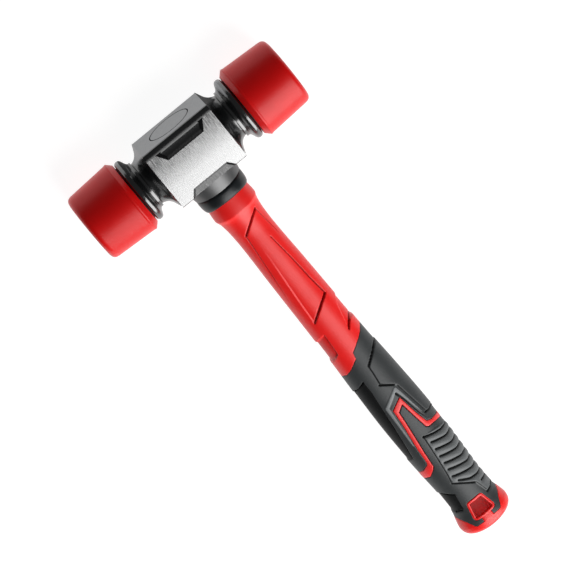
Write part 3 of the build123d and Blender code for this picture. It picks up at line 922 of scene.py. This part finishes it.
class MALLET_OT_grip(bpy.types.Operator):
    """Builds the black grip with its panels, ribs and the channel for the inlay"""

    bl_idname = "mallet.grip"
    bl_label = "Grip"

    def execute(self, context):
        detail = context.scene.mallet_detail
        turn = np.linspace(-math.pi, math.pi, RING, endpoint=False)
        top, foot = edge_along(GRIP_TOP, turn), edge_along(GRIP_FOOT, turn)
        first, last = 172.0, 262.0  # rows lie straight across between these
        start, end = top.mean(), foot.mean()
        rows = int((end - start) / detail.row_step)
        distance = np.linspace(start, end, rows)[:, None] + 0 * turn
        near_top = 1 - soft_step((distance - start) / (first - start))
        distance = distance + (top + detail.seam - start) * near_top
        near_foot = soft_step((distance - last) / (end - last))
        distance = distance + (foot - detail.seam - end) * near_foot
        turns = np.broadcast_to(turn, distance.shape)
        across = folded(turns)
        relief = grip_relief(across, distance)
        lift, cut, light = relief.lift, relief.cut, relief.light
        # the channel that the inlay lies in, and the seat of the hang hole's frame, both painted dark as
        # shade
        band = unrolled(INLAY_UPPER) + unrolled(INLAY_LOWER)[::-1]
        past = 3.0
        band = [(a + math.copysign(past, a) if abs(a) > SIDE - 1.0 else a, b) for a, b in band]
        channel = soft_step((depth_inside(across, distance, band) + detail.inlay_gap) / 0.2 + 0.5)
        lift = lift - channel * CHANNEL_DEPTH
        cut = np.maximum(cut, channel)
        seat = depth_inside(across, distance, unrolled(HOLE))
        sunk = soft_step((seat + HOLE_BORDER - 0.15) / 0.3)
        stem = [(-3.5, 280), (3.5, 280), (3.5, 290), (-3.5, 290)]
        stem_seat = depth_inside(across, distance, unrolled(stem))
        sunk = np.maximum(sunk, soft_step((stem_seat + 0.1) / 0.3))
        lift = lift * (1 - sunk) - sunk * CHANNEL_DEPTH
        cut = np.maximum(cut, sunk)
        opening = seat > -HOLE_BORDER / 2
        # the ends turn in, and are painted dark as shade
        upper, inward = turned_in(top, detail.seam)
        lower = turned_in(foot, -detail.seam)[0]
        distance = np.vstack([upper[::-1], distance, lower])
        lift = np.vstack([lift[:1] - inward[::-1], lift, lift[-1:] - inward])
        dark = np.clip(inward * 2.0, 0, 1)
        cut = np.vstack([dark[::-1], cut, dark])
        light = np.vstack([0 * dark, light, 0 * dark])
        whole = np.zeros(dark.shape, bool)
        opening = np.vstack([whole, opening, whole]).ravel()
        points = on_handle(np.broadcast_to(turn, distance.shape), distance, lift).reshape(-1, 3)
        faces = [f for f in ring_faces(len(distance), RING) if not all(opening[k] for k in f)]
        piece = new_piece(
            "grip_moulding", points, faces, [moulded_rubber(context.scene.mallet_colours)],
            cut=cut.ravel(), light=light.ravel(),
        )
        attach(piece, "head_and_handle")
        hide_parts("grip_overmould")
        return {"FINISHED"}


class MALLET_OT_inlay(bpy.types.Operator):
    """Builds the red band that lies in the grip's channel, right round the handle"""

    bl_idname = "mallet.inlay"
    bl_label = "Inlay"

    def execute(self, context):
        above, below = np.array(unrolled(INLAY_UPPER)), np.array(unrolled(INLAY_LOWER))
        upper, lower = [], []
        for k in range(len(above) - 1):
            steps = max(2, int(math.dist(above[k], above[k + 1]) / 0.7))
            for t in np.arange(steps) / steps:
                upper.append(above[k] * (1 - t) + above[k + 1] * t)
                lower.append(below[k] * (1 - t) + below[k + 1] * t)
        upper, lower = np.array([*upper, above[-1]]), np.array([*lower, below[-1]])
        for side in (upper, lower):
            side[:, 0] = np.clip(side[:, 0], -SIDE, SIDE)
        # share of the way across the band, and the lift there
        section = [
            (0.0, -0.85), (0.0, -0.3), (0.03, -0.1), (0.09, 0.03), (0.2, 0.1), (0.5, 0.14), (0.8, 0.1),
            (0.91, 0.03), (0.97, -0.1), (1.0, -0.3), (1.0, -0.85),
        ]
        share, lift = np.array(section).T
        flat = upper[:, None, :] * (1 - share[:, None]) + lower[:, None, :] * share[:, None]
        front_turn, distance = flat[..., 0] / UNROLL, flat[..., 1]
        turns = np.vstack([front_turn, (math.pi - front_turn)[::-1][1:-1]])
        distance = np.vstack([distance, distance[::-1][1:-1]])
        points = on_handle(turns, distance, lift + 0 * distance).reshape(-1, 3)
        # the band's edges, which drop into the channel, are painted dark as shade
        piece = new_piece(
            "inlay_band", points, ring_faces(len(turns), len(section), closed_rows=True),
            [moulded_inlay(context.scene.mallet_colours)],
            cut=np.tile(np.clip(-lift * 1.2, 0, 1), len(turns)),
        )
        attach(piece, "head_and_handle")
        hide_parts("grip_inlay")
        return {"FINISHED"}


def hole_frame():
    """Points, faces and painted shade of the frame that lines the hang hole from front to back."""
    top = (0.0, HOLE[0][1])
    outline = rounded([top, *HOLE[1:], HOLE[0], top], [0.7] * 4, 4)[:-1]
    inner = []
    for k, point in enumerate(outline):
        following = outline[(k + 1) % len(outline)]
        steps = max(1, int(math.dist(point, following) / 0.6))
        inner += [np.array(point) + (np.array(following) - point) * t / steps for t in range(steps)]
    inner = np.array(inner)
    ahead = np.roll(inner, -1, 0) - np.roll(inner, 1, 0)
    outward = np.stack([ahead[:, 1], -ahead[:, 0]], 1)
    outward /= np.linalg.norm(outward, axis=1, keepdims=True)
    # share of the border's width outwards from the hole, and the lift over the grip
    section = [
        (1.0, -1.1), (1.0, -0.1), (0.93, 0.12), (0.78, 0.24), (0.45, 0.28), (0.18, 0.2), (0.04, 0.0),
        (0.0, -0.4),
    ]
    # where the border drops into its seat it is painted dark as shade
    rows, dark = [], []
    for side in (1, -1):
        for share, lift in section if side > 0 else section[::-1]:
            place = inner + outward * share * HOLE_BORDER
            width, depth = half_width(place[:, 1]), half_depth(place[:, 1])
            z = depth * np.sqrt(1 - (place[:, 0] / width) ** 2) + lift
            rows.append(world(place[:, 0], place[:, 1], side * z))
            dark.append(np.full(len(place), 0.9 if lift < -0.5 else 0.0))
    # rows of points across the tunnel, between the front lip and the back lip, painted dark as shade
    half = len(section)
    tunnel_rows = 8
    for k in range(1, tunnel_rows):
        t = k / tunnel_rows
        rows.insert(half + k - 1, rows[half - 1] * (1 - t) + rows[half + k - 1] * t)
        dark.insert(half + k - 1, np.ones(len(inner)))
    return np.vstack(rows), ring_faces(len(rows), len(inner), closed_rows=True), np.concatenate(dark)


def hole_stem():
    """Points, faces and painted shade of the short stems that join the frame to the butt, front and back.
    """
    # share of the half width, and the lift over the grip, from the middle to one side
    section = [(0.0, 0.1), (0.3, 0.1), (0.6, 0.1), (0.85, 0.04), (0.95, -0.1), (1.0, -0.35), (1.0, -1.3)]
    across, drop = np.array([(-share, lift) for share, lift in section[:0:-1]] + section).T
    across = across * STEM_HALF
    top, fades, end = 281.3, 285.4, 288.4
    along = np.linspace(top, end, 16)
    fade = np.interp(along, [top, fades, end], [0.0, 0.0, -0.9])
    points, faces, dark = [], [], []
    for side in (1, -1):
        start = sum(len(p) for p in points)
        turn = np.arcsin(across[None, :] / half_width(along)[:, None])
        turn = turn if side > 0 else math.pi - turn
        lift = drop[None, :] + fade[:, None]
        points.append(on_handle(turn, along[:, None] + 0 * turn, lift).reshape(-1, 3))
        columns = len(across)
        faces += ring_faces(len(along), columns, start)
        faces.append(tuple(start + k for k in range(columns)))
        faces.append(tuple(start + (len(along) - 1) * columns + k for k in range(columns)))
        dark.append(np.tile(np.clip(-drop * 1.2, 0, 1), len(along)))
    return np.vstack(points), faces, np.concatenate(dark)


class MALLET_OT_butt(bpy.types.Operator):
    """Builds the red butt, its stem and the frame of the hang hole"""

    bl_idname = "mallet.butt"
    bl_label = "Butt"

    def execute(self, context):
        detail = context.scene.mallet_detail
        turn = np.linspace(-math.pi, math.pi, RING, endpoint=False)
        edge = edge_along(GRIP_FOOT, turn)
        widest = BUTT_TURN[0][0]
        start, last = edge + detail.seam, widest + 1.2  # the rows run from the slope to straight across
        sloped = start + np.linspace(0, 1, 22)[:, None] * (last - start)
        upper, inward = turned_in(edge, detail.seam)
        distance = np.vstack([upper[::-1], sloped])
        lift = np.vstack([-inward[::-1], 0 * sloped])
        shrink = smooth_through(BUTT_TURN, distance)
        body = on_handle(np.broadcast_to(turn, distance.shape), distance, lift)
        centre = world(0, distance, 0)
        body = centre + (body - centre) * np.where(distance > widest, shrink, 1.0)[..., None]
        # the rounded end: the outline near the end of the handle, drawn in row by row
        along = last + (BUTT_END - last) * np.sin(np.linspace(0, math.pi / 2, 26))[1:, None] + 0 * turn
        size = smooth_through(BUTT_TURN, along)
        outline = BUTT_END - 0.2
        base = on_handle(np.broadcast_to(turn, along.shape), np.full(along.shape, outline))
        end = world(0, along, 0) + (base - world(0, outline, 0)) * size[..., None]
        points = np.vstack([body, end]).reshape(-1, 3)
        faces = ring_faces(len(body) + len(end), RING)
        # the rows that turn in under the grip are painted dark as shade
        dark = np.clip(inward[::-1] * 2, 0, 1).ravel()
        dark = np.concatenate([dark, np.zeros(len(points) - inward.size)])
        for more, shape, shade in (hole_frame(), hole_stem()):
            faces += [tuple(k + len(points) for k in face) for face in shape]
            points, dark = np.vstack([points, more]), np.concatenate([dark, shade])
        piece = new_piece(
            "butt_moulding", points, faces, [moulded_butt(context.scene.mallet_colours)], cut=dark
        )
        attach(piece, "head_and_handle")
        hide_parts("butt_cap")
        return {"FINISHED"}


class MALLET_OT_collar(bpy.types.Operator):
    """Builds the rubber collar between the head and the sleeve"""

    bl_idname = "mallet.collar"
    bl_label = "Collar"

    def execute(self, context):
        low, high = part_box("collar")
        half_x, half_z = (high.x - low.x) / 2 / MM, (high.z - low.z) / 2 / MM
        turn = np.linspace(-math.pi, math.pi, 160, endpoint=False)
        length = collar_foot(turn) - COLLAR_TOP
        # share of the collar's length, millimetres more, and how far in from its widest size
        profile = [
            (0.0, 0.0, 3.4), (0.0, 0.0, 1.5), (0.0, 0.2, 0.8), (0.0, 0.6, 0.35), (0.0, 1.2, 0.1),
            (0.3, 0.0, 0.0), (0.6, 0.0, 0.1), (0.8, 0.0, 0.35), (1.0, -0.8, 0.7), (1.0, -0.3, 1.0),
            (1.0, 0.0, 1.5), (1.0, 0.0, 3.4),
        ]
        rows = []
        for share, more, inset in profile:
            distance = COLLAR_TOP + share * length + more
            rows.append(world((half_x - inset) * np.sin(turn), distance, (half_z - inset) * np.cos(turn)))
        piece = new_piece(
            "collar_ring", np.vstack(rows), ring_faces(len(rows), len(turn)), [collar_rubber()],
            cut=np.zeros(len(rows) * len(turn)),
        )
        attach(piece, "head_and_handle")
        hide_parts("collar")
        return {"FINISHED"}


class MALLET_OT_faces(bpy.types.Operator):
    """Builds both polyurethane faces and their threaded steel inserts"""

    bl_idname = "mallet.faces"
    bl_label = "Faces and studs"

    def execute(self, context):
        plastic = cast_polyurethane(context.scene.mallet_colours)
        metal = zinc_plate("steel_zinc_plated_stud")
        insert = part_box("right_face_stud")
        steps = context.scene.mallet_detail.threads
        boss = 9.0  # radius of the insert that the face is cast round
        seat = 19.6  # radius of the face's inner end
        for side, name in ((-1, "left"), (1, "right")):
            # the sloping rim, then the taper to the strike face
            corners = [
                (FACE_SEAT, boss), (FACE_SEAT, seat), (FACE_SEAT + 2.9, CAP_RADIUS),
                (FACE_SEAT + 3.6, CAP_RADIUS - 0.02), (FACE_SEAT + 4.3, CAP_RADIUS - 0.26),
                (STRIKE_FACE, CAP_RADIUS - 1.75), (STRIKE_FACE, 0.0),
            ]
            profile = rounded(corners, [0.5, 0.35, 0.6, 0.6, 4.0], 8)
            profile.insert(0, (FACE_SEAT + 9.0, boss))
            points, faces = turned(profile, side)
            cap = new_piece(f"{name}_face_casting", points, faces, [plastic], 40, cut=np.zeros(len(points)))
            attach(cap, f"{name}_face")
            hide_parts(f"{name}_face_cap")
            points, faces = threaded_stud(side, insert[0].x / MM, insert[1].x / MM, boss, steps)
            stud = new_piece(f"{name}_threaded_insert", points, faces, [metal], 35)
            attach(stud, f"{name}_face")
            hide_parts(f"{name}_face_stud")
        return {"FINISHED"}


def threaded_stud(side, tip, back, boss, steps):
    """Points and faces of an M12 stud with its thread, on the insert that the face is cast round."""
    radius, pitch, depth, segments = 6.0, 1.75, 0.95, 96
    angle = np.linspace(0, 2 * math.pi, segments, endpoint=False)
    x = np.arange(tip, FACE_SEAT - 0.6, pitch / steps)[:, None]
    phase = (x / pitch - angle / (2 * math.pi)) % 1.0
    crest = soft_step(np.abs(phase * 2 - 1) * 1.5 - 0.25)
    size = radius - depth * crest
    size = np.minimum(size, radius - 1.0 + x - tip)
    run_out = soft_step((x - (FACE_SEAT - 2.4)) / 1.2)
    size = size * (1 - run_out) + (radius - 0.5) * run_out
    stud = world(side * x + 0 * angle, -size * np.cos(angle), size * np.sin(angle)).reshape(-1, 3)
    tip_points = world(side * tip + 0 * angle, 0 * angle, 0 * angle)
    insert = [
        (FACE_SEAT - 0.5, radius - 0.5), (FACE_SEAT, radius - 0.5), (FACE_SEAT, boss - 0.3),
        (FACE_SEAT + 0.3, boss), (FACE_SEAT + 7.0, boss), (FACE_SEAT + 7.0, boss - 1.5),
        (FACE_SEAT + 10.0, boss - 1.5), (FACE_SEAT + 10.0, 14.0), (back, 14.0), (back, 0.0),
    ]
    more = turned(insert, side, segments)[0]
    points = np.vstack([tip_points, stud, more])
    return points, ring_faces(1 + len(x) + len(insert), segments)


# Limits that tell the head's surfaces apart, in millimetres from its middle.
POCKET_DEPTHS = (15.5, 18.3)  # the pockets' floors lie between these depths
POCKET_HALF = 20.0  # and within this, to the left and the right
POCKET_START = 11.0  # and above this, or below it
CHEEK_DEPTH = 18.7
CHEEK_HALF = 23.0
FLANGE_START = 29.0  # the outer sides of both flanges are beyond this
SLOPE_FOOT = 13.5  # and the upper slopes are above this
# The head's finishes, by their place in its list of materials. On the upper slopes the ground steel is a
# painted reflection and the darker oxide is painted shade.
OXIDE, POLISHED, GROUND_AND_PAINTED_REFLECTION, GROUND_POCKET, SEAM_OXIDE, PAINTED_SHADE_OXIDE, TURNED_OXIDE = range(7)


def pocket_floor(face, above):
    """Whether a face is the floor of a pocket above (1) or below (-1) the middle of a cheek."""
    centre = face.calc_center_median()
    height, depth = (centre.y - AXIS_Y) / MM, abs(centre.z - AXIS_Z) / MM
    inside = POCKET_DEPTHS[0] < depth < POCKET_DEPTHS[1] and abs(centre.x) < POCKET_HALF * MM
    return inside and abs(face.normal.z) > 0.7 and POCKET_START < height * above < HEAD_TOP


def upper_floors(work, side):
    """The faces of the upper pocket's floor, on the front (1) or the back (-1)."""
    return [f for f in work.faces if pocket_floor(f, 1) and f.normal.z * side > 0]


def dish_pockets(work, depth=0.6, lean=math.tan(math.radians(40)), cuts=10):
    """Hollows the floors of the upper pockets, and narrows them as their walls lean."""
    for side in (1, -1):
        heights = [v.co.y for f in upper_floors(work, side) for v in f.verts]
        low, high = min(heights), max(heights)
        for k in range(1, cuts):
            floors = upper_floors(work, side)
            edges, verts = {e for f in floors for e in f.edges}, {v for f in floors for v in f.verts}
            place = low + (high - low) * k / cuts
            bmesh.ops.bisect_plane(
                work, geom=[*floors, *edges, *verts], dist=1e-7, plane_co=(0, place, 0), plane_no=(0, 1, 0)
            )
        for vert in {v for f in upper_floors(work, side) for v in f.verts}:
            share = 2 * (vert.co.y - low) / (high - low) - 1
            drop = depth * MM * max(0.0, 1 - share * share)
            vert.co.z -= side * drop
            vert.co.x -= math.copysign(drop * lean, vert.co.x)
    work.normal_update()


def soften_top_edge(work, radius=0.8):
    """Rounds the long edges between the top of the head and its chamfers."""
    chosen = []
    for edge in work.edges:
        if len(edge.link_faces) == 2 and edge.calc_length() > 20 * MM:
            tops = [f.normal.y > 0.99 for f in edge.link_faces]
            leans = [0.5 < f.normal.y < 0.9 and abs(f.normal.x) < 0.1 for f in edge.link_faces]
            if any(tops) and any(leans):
                chosen.append(edge)
    bmesh.ops.bevel(
        work, geom=chosen, offset=radius * MM, segments=5, profile=0.5, affect="EDGES", clamp_overlap=True,
        loop_slide=True,
    )
    work.normal_update()


def wrap_boss(work, segments=192, over=0.04):
    """Lays a smooth skin just over the boss that the handle goes up into, from the block to the collar."""
    (top, top_width, top_depth), (end, end_width, end_depth) = BOSS
    turn = np.linspace(0, 2 * math.pi, segments, endpoint=False)
    distance = np.linspace(top + 1.1, end, 9)[:, None]
    share = (distance - top) / (end - top)
    width = top_width + (end_width - top_width) * share + over
    depth = top_depth + (end_depth - top_depth) * share + over
    points = world(width * np.sin(turn), distance, depth * np.cos(turn)).reshape(-1, 3)
    verts = [work.verts.new(point) for point in points]
    skin = [work.faces.new([verts[k] for k in ring]) for ring in ring_faces(len(distance), segments)]
    bmesh.ops.recalc_face_normals(work, faces=skin)
    for face in skin:
        face.smooth = True
        face.material_index = TURNED_OXIDE


def sharp_edge(edge):
    """Whether two faces meet at an angle, unless it is at the seam round the plug."""
    return len(edge.link_faces) == 2 and edge.calc_face_angle(0) > math.radians(24) and not near_seam(edge)


def near_seam(edge):
    """Whether an edge is close to the oval seam between the plug and the top of the head."""
    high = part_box("eye_plug")[1]
    middle = (edge.verts[0].co + edge.verts[1].co) / 2 - Vector((0, AXIS_Y, AXIS_Z))
    oval = math.hypot(middle.x / high.x, middle.z / (high.z - AXIS_Z))
    return middle.y > (HEAD_TOP - 0.6) * MM and 0.9 < oval < 1.1


def seam_edge(edge):
    """Whether an edge is the rim of the plug or of its recess."""
    return len(edge.link_faces) == 2 and edge.calc_face_angle(0) > math.radians(60) and near_seam(edge)


def finish_of(face):
    """Which of the head's finishes a face has."""
    centre, normal = face.calc_center_median(), face.normal
    depth = abs(centre.z - AXIS_Z) / MM
    if normal.y > 0.99 and centre.y > AXIS_Y + (HEAD_TOP - 0.2) * MM:
        return GROUND_AND_PAINTED_REFLECTION
    if abs(normal.z) > 0.99 and depth > CHEEK_DEPTH and abs(centre.x) < CHEEK_HALF * MM:
        return POLISHED
    if pocket_floor(face, -1):
        return GROUND_POCKET
    # upper slopes, such as the shoulders: ground steel as a painted reflection if they face left, and
    # darker oxide as painted shade if they face right
    if normal.y > 0.35 and centre.y > AXIS_Y + SLOPE_FOOT * MM:
        if normal.x < -0.25 and centre.x > -FLANGE_START * MM:
            return GROUND_AND_PAINTED_REFLECTION
        if normal.x > 0.25 and centre.x < FLANGE_START * MM:
            return PAINTED_SHADE_OXIDE
    return OXIDE


class MALLET_OT_head(bpy.types.Operator):
    """Finishes the steel head: rounded edges, polished cheeks, a ground top and black oxide elsewhere"""

    bl_idname = "mallet.head"
    bl_label = "Head and eye plug"

    def execute(self, context):
        finishes = [
            black_oxide(), polished_cheek(), ground_and_painted_reflection(), ground_pocket(), oxide_in_seam(), oxide_painted_shade(),
            oxide_turned(),
        ]
        edge = context.scene.mallet_detail.edge
        for node, name in (("head_body", "head_forging"), ("eye_plug", "eye_closing_plug")):
            work = bmesh.new()
            work.from_mesh(frame["nodes"][node].data)
            bmesh.ops.remove_doubles(work, verts=work.verts, dist=0.002 * MM)
            bmesh.ops.dissolve_limit(
                work, angle_limit=math.radians(0.5), verts=work.verts, edges=work.edges, delimit={"NORMAL"}
            )
            work.normal_update()
            if node == "head_body":
                dish_pockets(work)
                soften_top_edge(work)
            for face in work.faces:
                face.material_index = finish_of(face)
                face.smooth = True
            for chosen, size, finish in ((seam_edge, 0.42, SEAM_OXIDE), (sharp_edge, edge, OXIDE)):
                edges = [e for e in work.edges if chosen(e)]
                bmesh.ops.bevel(
                    work, geom=edges, offset=size * MM, segments=3, profile=0.5, affect="EDGES",
                    material=finish, clamp_overlap=True, loop_slide=True,
                )
                work.normal_update()
            if node == "head_body":
                wrap_boss(work)
            mesh = bpy.data.meshes.new(name)
            work.to_mesh(mesh)
            work.free()
            for finish in finishes:
                mesh.materials.append(finish)
            piece = bpy.data.objects.new(name, mesh)
            context.scene.collection.objects.link(piece)
            weighted = piece.modifiers.new("flat faces stay flat", "WEIGHTED_NORMAL")
            weighted.weight = 100
            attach(piece, "head_and_handle")
            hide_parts(node)
        return {"FINISHED"}


class MALLET_OT_inner_parts(bpy.types.Operator):
    """Gives the plugs, seals, washers, shot, core and bond their finishes"""

    bl_idname = "mallet.inner_parts"
    bl_label = "Inner parts"

    def execute(self, context):
        finishes = {
            "chamber_plug": zinc_plate("steel_zinc_plated_plug"),
            "plug_seal": seal_rubber(),
            "face_washer": fibre_washer(),
            "shot_charge": cast_shot(),
        }
        sides = ("left", "right")
        chosen = {f"{side}_{part}": finish for side in sides for part, finish in finishes.items()}
        chosen["handle_core"] = glass_fibre()
        chosen["eye_resin"] = epoxy()
        for node, finish in chosen.items():
            mesh = frame["nodes"][node].data
            mesh.materials.clear()
            mesh.materials.append(finish)
        return {"FINISHED"}


class MALLET_OT_stage(bpy.types.Operator):
    """Adds the floor, the soft box, the room light and the camera"""

    bl_idname = "mallet.stage"
    bl_label = "Floor, lights and camera"

    def execute(self, context):
        settings = context.scene.mallet_stage
        centre = (Vector(CAD_BOX[0]) + Vector(CAD_BOX[1])) / 2
        half = settings.floor_size / 2
        mesh = bpy.data.meshes.new("studio_floor")
        corners = [(-half, -half, 0), (half, -half, 0), (half, half, 0), (-half, half, 0)]
        mesh.from_pydata(corners, [], [(0, 1, 2, 3)])
        mesh.materials.append(pale_floor(settings))
        floor = bpy.data.objects.new("studio_floor", mesh)
        floor.location.z = CAD_BOX[0][2] - 0.0002
        context.scene.collection.objects.link(floor)
        # one large soft box beyond the butt, a little to the right
        light = bpy.data.lights.new("key_soft_box", "AREA")
        light.shape, light.energy = "RECTANGLE", settings.key_power
        light.size, light.size_y = 1.15, 1.7
        lamp = bpy.data.objects.new(light.name, light)
        direction, distance = Vector((0.15, -0.75, 0.65)).normalized(), 1.3
        lamp.location = centre + direction * distance
        lamp.rotation_euler = (lamp.location - centre).to_track_quat("Z", "Y").to_euler()
        context.scene.collection.objects.link(lamp)
        world_light = bpy.data.worlds.new("studio_room")
        world_light.use_nodes = True
        background = world_light.node_tree.nodes["Background"]
        background.inputs["Color"].default_value = linear("#F2F4F6")
        background.inputs["Strength"].default_value = settings.sky
        context.scene.world = world_light
        context.scene.view_settings.view_transform = "Standard"
        camera = bpy.data.cameras.new("camera")
        camera.lens, camera.sensor_width = settings.camera_lens, 36.0
        eye = bpy.data.objects.new("camera", camera)
        tilt, swing, roll = settings.camera_tilt, settings.camera_swing, settings.camera_roll
        level = math.cos(tilt)
        towards = Vector((math.sin(swing) * level, math.sin(tilt), math.cos(swing) * level))
        right = Vector((math.cos(swing), 0, -math.sin(swing)))
        up = towards.cross(right)
        turned_right = right * math.cos(roll) - up * math.sin(roll)
        turned_up = right * math.sin(roll) + up * math.cos(roll)
        aim = centre + Vector(settings.camera_aim)
        eye.matrix_world = (
            Matrix.Translation(aim + towards * settings.camera_distance)
            @ Matrix((turned_right, turned_up, towards)).transposed().to_4x4()
        )
        context.scene.collection.objects.link(eye)
        context.scene.camera = eye
        return {"FINISHED"}


STEPS = (
    MALLET_OT_stage,
    MALLET_OT_head,
    MALLET_OT_collar,
    MALLET_OT_sleeve,
    MALLET_OT_grip,
    MALLET_OT_inlay,
    MALLET_OT_butt,
    MALLET_OT_faces,
    MALLET_OT_inner_parts,
)


SETTINGS = {"mallet_colours": MalletColours, "mallet_stage": MalletStage, "mallet_detail": MalletDetail}


class MALLET_PT_panel(bpy.types.Panel):
    """Sizes, colours and the buttons that build each piece"""

    bl_idname = "MALLET_PT_panel"
    bl_label = "Dead blow mallet"
    bl_space_type = "VIEW_3D"
    bl_region_type = "UI"
    bl_category = "Mallet"

    def draw(self, context):
        for setting in SETTINGS:
            group = getattr(context.scene, setting)
            box = self.layout.box()
            for name in group.__annotations__:
                box.prop(group, name)
        for step in STEPS:
            self.layout.operator(step.bl_idname)


def register():
    for kind in (*SETTINGS.values(), *STEPS, MALLET_PT_panel):
        bpy.utils.register_class(kind)
    for name, group in SETTINGS.items():
        setattr(bpy.types.Scene, name, PointerProperty(type=group))


def unregister():
    for name in SETTINGS:
        delattr(bpy.types.Scene, name)
    for kind in (MALLET_PT_panel, *STEPS[::-1], *SETTINGS.values()):
        bpy.utils.unregister_class(kind)


def main():
    register()
    for step in STEPS:
        group, operator = step.bl_idname.split(".")
        getattr(getattr(bpy.ops, group), operator)()


if __name__ == "__main__":
    main()
